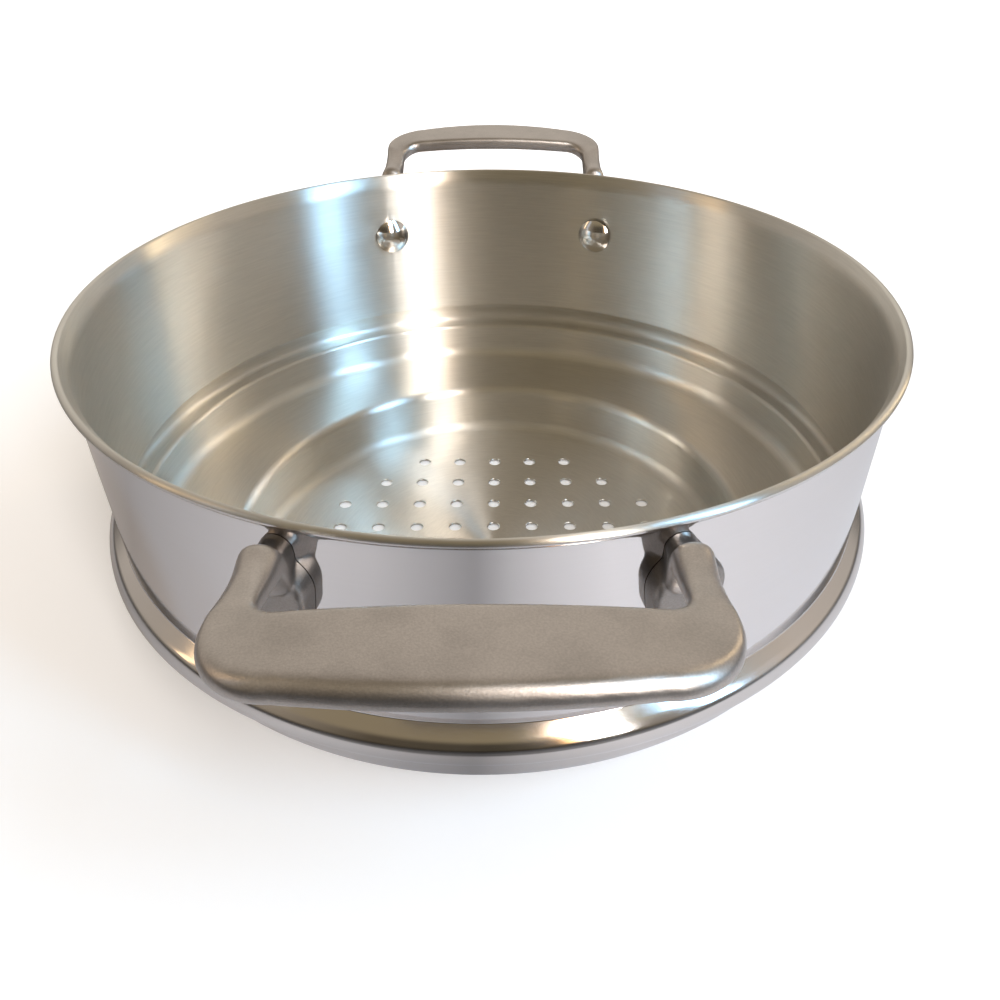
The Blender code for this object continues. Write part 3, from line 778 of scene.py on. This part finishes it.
class STEAMER_OT_handles(bpy.types.Operator):
    """Build the two cast loop handles, arms and pads blended into one casting"""

    bl_idname = "steamer.handles"
    bl_label = "Handles"

    def pad_outline(self, inset, distance, hand):
        """Ring of a pad, wrapped round its rounds, drawn in by the inset. The hand is 1 or -1."""
        rounds = [(Vector((x * hand, y)), radius - inset) for x, y, radius in (PAD_FOOT, PAD_LOBE)]
        chain = rounds + rounds[-2::-1]
        normals = []
        for (centre, radius), (following, other_radius) in zip(chain, chain[1:]):
            step = following - centre
            heading = math.atan2(step.y, step.x)
            normals.append(heading - math.acos((radius - other_radius) / step.length))
        starts = [normals[-1] - 2 * math.pi] + normals[:-1]
        ring = []
        for (centre, radius), start, end in zip(chain, starts, normals):
            stop = start + (end - start) % (2 * math.pi)
            ring += arc(centre, radius, start, stop, PAD_ROUND_STEPS)
        return [(point.x, point.y, distance) for point in ring]

    def make_pad(self, places, angle, hand):
        """Pad of a handle, round-edged on its outer face."""
        levels = [(0, -CUT_OVERRUN)]
        for step in range(PAD_EDGE_STEPS + 1):
            turn = math.pi / 2 * step / PAD_EDGE_STEPS
            inset = PAD_EDGE_RADIUS * (1 - math.cos(turn))
            levels.append((inset, PAD_THICKNESS - PAD_EDGE_RADIUS * (1 - math.sin(turn))))
        bm = bmesh.new()
        loft(bm, [self.pad_outline(*level, hand) for level in levels])
        pad = new_piece("handle_pad", bm, [])
        pad.matrix_world = places.rivet_place(angle)
        return pad

    def bar_ring(self, inner, outer, tops, bottoms, edges):
        """Ring of the bar in the upright plane from an inner to an outer place, round-cornered."""
        width = (outer - inner).length
        across = (outer - inner).normalized()
        radii = [
            min(edge, EDGE_LIMIT_SHARE * width, EDGE_LIMIT_SHARE * (top - bottom))
            for edge, top, bottom in zip(edges, tops, bottoms)
        ]
        corners = (
            (Vector((0, bottoms[0])), radii[0]),
            (Vector((0, tops[0])), radii[0]),
            (Vector((width, tops[1])), radii[1]),
            (Vector((width, bottoms[1])), radii[1]),
        )
        ring = []
        for index, (corner, radius) in enumerate(corners):
            before = (corner - corners[index - 1][0]).normalized()
            after = (corners[(index + 1) % 4][0] - corner).normalized()
            turn = math.acos(before.dot(after))
            normal = Vector((before.y, -before.x))
            centre = corner - before * radius * math.tan(turn / 2) + normal * radius
            for step in range(BAR_CORNER_STEPS + 1):
                turned = Matrix.Rotation(-turn * step / BAR_CORNER_STEPS, 2) @ normal
                point = centre - turned * radius
                place = inner + across * point.x
                ring.append((place.x, place.y, point.y))
        return ring

    def half_bar(self, scene, places):
        """Rings of half the bar, from the root of its arm at +X to the middle of the grip."""
        size = scene.steamer_handles
        arm_offset = size.arm_spacing / 2
        arm_inner = arm_offset - size.arm_width / 2
        arm_outer = arm_offset + size.arm_width / 2
        half_span = size.grip_span / 2
        pad_face = places.rivet_reach + PAD_THICKNESS
        pad_reach = pad_face / math.cos(places.pad_angle) - arm_offset * math.tan(places.pad_angle)
        knuckle = pad_reach + KNUCKLE_REACH
        knuckle_height = scene.steamer_bowl.height + KNUCKLE_RISE
        grip_inner = scene.steamer_bowl.rim_radius + size.finger_gap

        def top_height(place):
            fall = GRIP_CROWN * (place.x / half_span) ** 2
            grip_start = scene.steamer_bowl.height + GRIP_RISE - fall
            if place.y > grip_inner:
                return grip_start + GRIP_TILT * (place.y - grip_inner) / size.grip_width
            share = (place.y - knuckle) / (grip_inner - knuckle)
            return blend(knuckle_height, grip_start, share ** 2)

        def thickness(place):
            if place.y > grip_inner:
                share = (place.y - grip_inner) / size.grip_width
                return blend(GRIP_INNER_THICKNESS, GRIP_OUTER_THICKNESS, share)
            share = (place.y - knuckle) / (grip_inner - knuckle)
            return blend(size.arm_thickness, GRIP_INNER_THICKNESS, share)

        def span_ring(inner, outer, edges):
            tops = [top_height(place) for place in (inner, outer)]
            bottoms = [top - thickness(place) for top, place in zip(tops, (inner, outer))]
            return self.bar_ring(inner, outer, tops, bottoms, edges)

        def outer_reach(x):
            return grip_inner + size.grip_width - GRIP_BOW * (x / half_span) ** 2

        rings = []
        last = len(ROOT_SHARES) - 1
        for step in range(last * ROOT_STEPS):
            index, share = step // ROOT_STEPS, step % ROOT_STEPS / ROOT_STEPS
            before, near, far, after = [
                Vector(ROOT_SHARES[min(max(index + offset, 0), last)]) for offset in (-1, 0, 1, 2)
            ]
            # Smooth curve through the shares, so that the root has no facets
            bent = near + (far - before) * share / 2
            bent += (2 * before - 5 * near + 4 * far - after) * share ** 2 / 2
            bent += (3 * near - before - 3 * far + after) * share ** 3 / 2
            out, drop, depth, breadth = bent
            reach = pad_reach + KNUCKLE_REACH * out
            half_width = size.arm_width / 2 * breadth
            top = knuckle_height - size.arm_thickness * drop
            foot = knuckle_height - size.arm_thickness * (1 + depth)
            ends = [Vector((arm_offset + side * half_width, reach)) for side in (-1, 1)]
            edge = ARM_EDGE_RADIUS * breadth
            rings.append(self.bar_ring(*ends, (top, top), (foot, foot), (edge, edge)))

        inner_bend = Vector((arm_inner - GRIP_INNER_CORNER, grip_inner - GRIP_INNER_CORNER))
        outer_bend_x = half_span - GRIP_OUTER_CORNER
        outer_bend = Vector((outer_bend_x, outer_reach(outer_bend_x) - GRIP_OUTER_CORNER))
        for step in range(ARM_STEPS):
            share = step / ARM_STEPS
            inner = blend(Vector((arm_inner, knuckle)), Vector((arm_inner, inner_bend.y)), share)
            outer = blend(Vector((arm_outer, knuckle)), Vector((half_span, outer_bend.y)), share)
            outer.x -= ARM_WAIST * math.sin(math.pi * share)
            rings.append(span_ring(inner, outer, (ARM_EDGE_RADIUS, ARM_EDGE_RADIUS)))
        grip_edges = (GRIP_INNER_EDGE, GRIP_OUTER_EDGE)
        inner_arc = arc(inner_bend, GRIP_INNER_CORNER, 0, math.pi / 2, GRIP_CORNER_STEPS)
        outer_arc = arc(outer_bend, GRIP_OUTER_CORNER, 0, math.pi / 2, GRIP_CORNER_STEPS)
        for step, (inner, outer) in enumerate(zip(inner_arc, outer_arc)):
            share = step / GRIP_CORNER_STEPS
            edges = [blend(ARM_EDGE_RADIUS, edge, share) for edge in grip_edges]
            rings.append(span_ring(inner, outer, edges))
        for step in range(1, GRIP_STEPS + 1):
            share = step / GRIP_STEPS
            inner = Vector((blend(inner_bend.x, 0, share), grip_inner))
            outer_x = blend(outer_bend_x, 0, share)
            outer = Vector((outer_x, outer_reach(outer_x)))
            rings.append(span_ring(inner, outer, grip_edges))
        return rings

    def wall_plug(self, scene, places):
        """Tool with the outer shape of the wall, a contact gap larger, that fits the pads to it."""
        reach = places.half_sheet + PAD_GAP
        path = places.sheet_path(scene.steamer_bowl)
        wall = [point - normal * reach for point, normal in path if point.y > places.flange_top]
        bm = bmesh.new()
        turn_profile(bm, wall, scene.steamer_bowl.sides)
        return new_piece("wall_plug", bm, [])

    def execute(self, context):
        scene = context.scene
        places = BowlPlaces(scene)
        material = cast_stainless(scene.steamer_handles.colour)
        half = self.half_bar(scene, places)
        mirrored = [[(-x, y, z) for x, y, z in ring] for ring in half[-2::-1]]
        for node, turn in (("back_handle", 0), ("front_handle", math.pi)):
            bm = bmesh.new()
            loft(bm, half + mirrored)
            bmesh.ops.rotate(bm, verts=bm.verts, matrix=Matrix.Rotation(-turn, 3, "Z"))
            piece = new_piece(node + "_casting", bm, [material])
            pads = [self.make_pad(places, turn + hand * places.pad_angle, hand) for hand in (-1, 1)]
            shape_with(piece, "UNION", pads)
            # The cast fillets: remeshed finely, then eased where the bar grows out of its pads
            remesh = piece.modifiers.new("fine_casting", "REMESH")
            remesh.mode = "VOXEL"
            remesh.voxel_size = CAST_VOXEL
            ease = piece.modifiers.new("cast_fillets", "SMOOTH")
            ease.factor = 0.5
            ease.iterations = 8
            bake_modifiers(piece)
            cutters = [self.wall_plug(scene, places)]
            bore_end = RIVET_SHANK_INSERTION + CONTACT_GAP
            for hand in (-1, 1):
                angle = turn + hand * places.pad_angle
                cutters.append(places.rivet_bore(angle, -CUT_OVERRUN, bore_end))
            shape_with(piece, "DIFFERENCE", cutters)
            piece.data.materials.clear()
            piece.data.materials.append(material)
            soften(piece, SHARP_ANGLE)
            stand_for(piece, node)
        return {"FINISHED"}


class STEAMER_OT_rivets(bpy.types.Operator):
    """Build the four domed rivets that hold the handles"""

    bl_idname = "steamer.rivets"
    bl_label = "Rivets"

    def execute(self, context):
        scene = context.scene
        places = BowlPlaces(scene)
        size = scene.steamer_rivets
        material = mirror_stainless(
            "stainless_18_8_headed_rivet", size.colour, roughness=0.09, wave=0.30,
        )
        shank = RIVET_SHANK_DIAMETER / 2
        head = size.head_diameter / 2
        # The wall curves and leans towards the edge of the head
        seat = (
            -scene.steamer_bowl.sheet - head ** 2 / (2 * places.rivet_reach)
            - head * places.wall_lean - CONTACT_GAP
        )
        dome = size.head_height - RIVET_HEAD_EDGE
        dome_radius = (head ** 2 + dome ** 2) / (2 * dome)
        spread = math.asin(head / dome_radius)
        pole = -math.pi / 2
        centre = Vector((0, seat - size.head_height + dome_radius))
        corners = ((shank, RIVET_SHANK_INSERTION), (shank, seat), (head, seat))
        profile = [Vector(corner) for corner in corners]
        flat = pole + spread * DOME_FLAT_SHARE
        profile += arc(centre, dome_radius, pole + spread, flat, DOME_STEPS)
        rivets = (
            ("rivet_back_left", -places.pad_angle),
            ("rivet_back_right", places.pad_angle),
            ("rivet_front_left", math.pi + places.pad_angle),
            ("rivet_front_right", math.pi - places.pad_angle),
        )
        for node, angle in rivets:
            bm = bmesh.new()
            turn_profile(bm, profile, size.sides)
            bm.transform(places.rivet_place(angle))
            piece = new_piece(node + "_dome", bm, [material])
            soften(piece, SHARP_ANGLE)
            stand_for(piece, node)
        return {"FINISHED"}


class STEAMER_OT_stage(bpy.types.Operator):
    """Set the white table, the soft boxes, the room's light and the photo camera"""

    bl_idname = "steamer.stage"
    bl_label = "Stage"

    def add_table(self, scene):
        """Round white table under the basket."""
        bm = bmesh.new()
        radius = scene.steamer_stage.table_radius
        bmesh.ops.create_circle(bm, cap_ends=True, segments=96, radius=radius)
        mesh = bpy.data.meshes.new("table")
        bm.to_mesh(mesh)
        bm.free()
        mesh.materials.append(white_table(scene.steamer_stage.table_colour))
        table = bpy.data.objects.new("table", mesh)
        table.location.z = -CONTACT_GAP
        scene.collection.objects.link(table)

    def add_soft_boxes(self, scene):
        """Upright soft boxes round the table, which the brushed steel draws out into streaks."""
        for name, (heading, rise, wide, tall, radiance, colour) in SOFT_BOXES.items():
            light = bpy.data.lights.new(name, "AREA")
            light.shape = "RECTANGLE"
            light.size = 2 * SOFT_BOX_DISTANCE * math.tan(math.radians(wide / 2))
            light.size_y = 2 * SOFT_BOX_DISTANCE * math.tan(math.radians(tall / 2))
            light.energy = radiance * math.pi * light.size * light.size_y
            light.color = linear(colour)[:3]
            box = bpy.data.objects.new(name, light)
            turn, lift = math.radians(heading), math.radians(rise)
            level = math.cos(lift)
            towards = Vector((math.sin(turn) * level, math.cos(turn) * level, math.sin(lift)))
            box.location = towards * SOFT_BOX_DISTANCE
            box.rotation_euler = towards.to_track_quat("Z", "Y").to_euler()
            scene.collection.objects.link(box)

    def light_room(self, scene):
        """Room light: warm greys that change round the room and upwards; white to the camera."""
        world = bpy.data.worlds.new("warm_grey_room")
        world.use_nodes = True
        tree = world.node_tree
        tree.nodes.clear()
        gaze = add_node(tree, "TexCoord").outputs["Generated"]
        split = add_node(tree, "SeparateXYZ", inputs={0: gaze}).outputs
        eye_level, above = [
            turned_ramp(tree, split["X"], split["Y"], [
                (degrees, linear(colour)) for degrees, colour in colours
            ])
            for colours in (ROOM_AT_EYE_LEVEL, ROOM_ABOVE)
        ]
        rise, overhead, clear = [
            add_node(tree, "MapRange", SMOOTH, {
                "Value": split["Z"], "From Min": low, "From Max": high, "To Min": start,
            })
            for low, high, start in (
                (EYE_LEVEL_TOP, ABOVE_START, 0.0),
                (CEILING_START, CEILING_END, 0.0),
                (0.0, HORIZON_TOP, HORIZON_TONE),
            )
        ]
        walls = add_node(tree, "Mix", MIX, {"Factor": rise, "A": eye_level, "B": above})
        whole = add_node(tree, "Mix", MIX, {
            "Factor": overhead, "A": walls, "B": linear(ROOM_CEILING),
        })
        room = add_node(tree, "Mix", TINT, {"Factor": 1.0, "A": whole, "B": clear})
        camera = add_node(tree, "LightPath").outputs["Is Camera Ray"]
        shown = add_node(tree, "Mix", MIX, {"Factor": camera, "A": room, "B": WHITE})
        light = add_node(tree, "Background", inputs={"Color": shown, "Strength": 1.0})
        add_node(tree, "OutputWorld", inputs={"Surface": light})
        scene.world = world

    def add_camera(self, scene):
        """Camera at the photograph's viewing angle."""
        back = Vector((
            math.sin(CAMERA_TURN) * math.cos(CAMERA_PITCH),
            -math.cos(CAMERA_TURN) * math.cos(CAMERA_PITCH),
            math.sin(CAMERA_PITCH),
        ))
        level = Vector((0, 0, 1)).cross(back).normalized()
        climb = back.cross(level)
        right = math.cos(CAMERA_ROLL) * level + math.sin(CAMERA_ROLL) * climb
        up = math.cos(CAMERA_ROLL) * climb - math.sin(CAMERA_ROLL) * level
        lens = bpy.data.cameras.new("photo_camera")
        lens.lens = CAMERA_LENS
        lens.sensor_width = 36.0
        lens.shift_x, lens.shift_y = CAMERA_SHIFT
        lens.clip_start = 0.01
        camera = bpy.data.objects.new("photo_camera", lens)
        turned = Matrix((right, up, back)).transposed().to_4x4()
        camera.matrix_world = Matrix.Translation(CAMERA_PLACE) @ turned
        scene.collection.objects.link(camera)
        scene.camera = camera

    def execute(self, context):
        scene = context.scene
        self.add_table(scene)
        self.add_soft_boxes(scene)
        self.light_room(scene)
        self.add_camera(scene)
        scene.view_settings.view_transform = "Standard"
        return {"FINISHED"}


class STEAMER_PT_pieces(bpy.types.Panel):
    """Panel that lists the operators and their settings"""

    bl_idname = "STEAMER_PT_pieces"
    bl_label = "Steamer Basket"
    bl_space_type = "VIEW_3D"
    bl_region_type = "UI"
    bl_category = "Steamer Basket"

    def draw(self, context):
        for name, (_, operator) in GROUPS.items():
            column = self.layout.column(align=True)
            group = getattr(context.scene, name)
            for setting in group.__annotations__:
                column.prop(group, setting)
            column.operator(operator.bl_idname)


GROUPS = {
    "steamer_stage": (StageSettings, STEAMER_OT_stage),
    "steamer_bowl": (BowlSettings, STEAMER_OT_bowl),
    "steamer_handles": (HandleSettings, STEAMER_OT_handles),
    "steamer_rivets": (RivetSettings, STEAMER_OT_rivets),
}


def register():
    """Register the settings, the operators and the panel."""
    for name, (settings, operator) in GROUPS.items():
        bpy.utils.register_class(settings)
        bpy.utils.register_class(operator)
        setattr(bpy.types.Scene, name, PointerProperty(type=settings))
    bpy.utils.register_class(STEAMER_PT_pieces)


def unregister():
    """Take away what register added."""
    bpy.utils.unregister_class(STEAMER_PT_pieces)
    for name, (settings, operator) in reversed(GROUPS.items()):
        delattr(bpy.types.Scene, name)
        bpy.utils.unregister_class(operator)
        bpy.utils.unregister_class(settings)


def main():
    """Build the stage and every piece."""
    register()
    bpy.ops.steamer.stage()
    bpy.ops.steamer.bowl()
    bpy.ops.steamer.handles()
    bpy.ops.steamer.rivets()


if __name__ == "__main__":
    main()
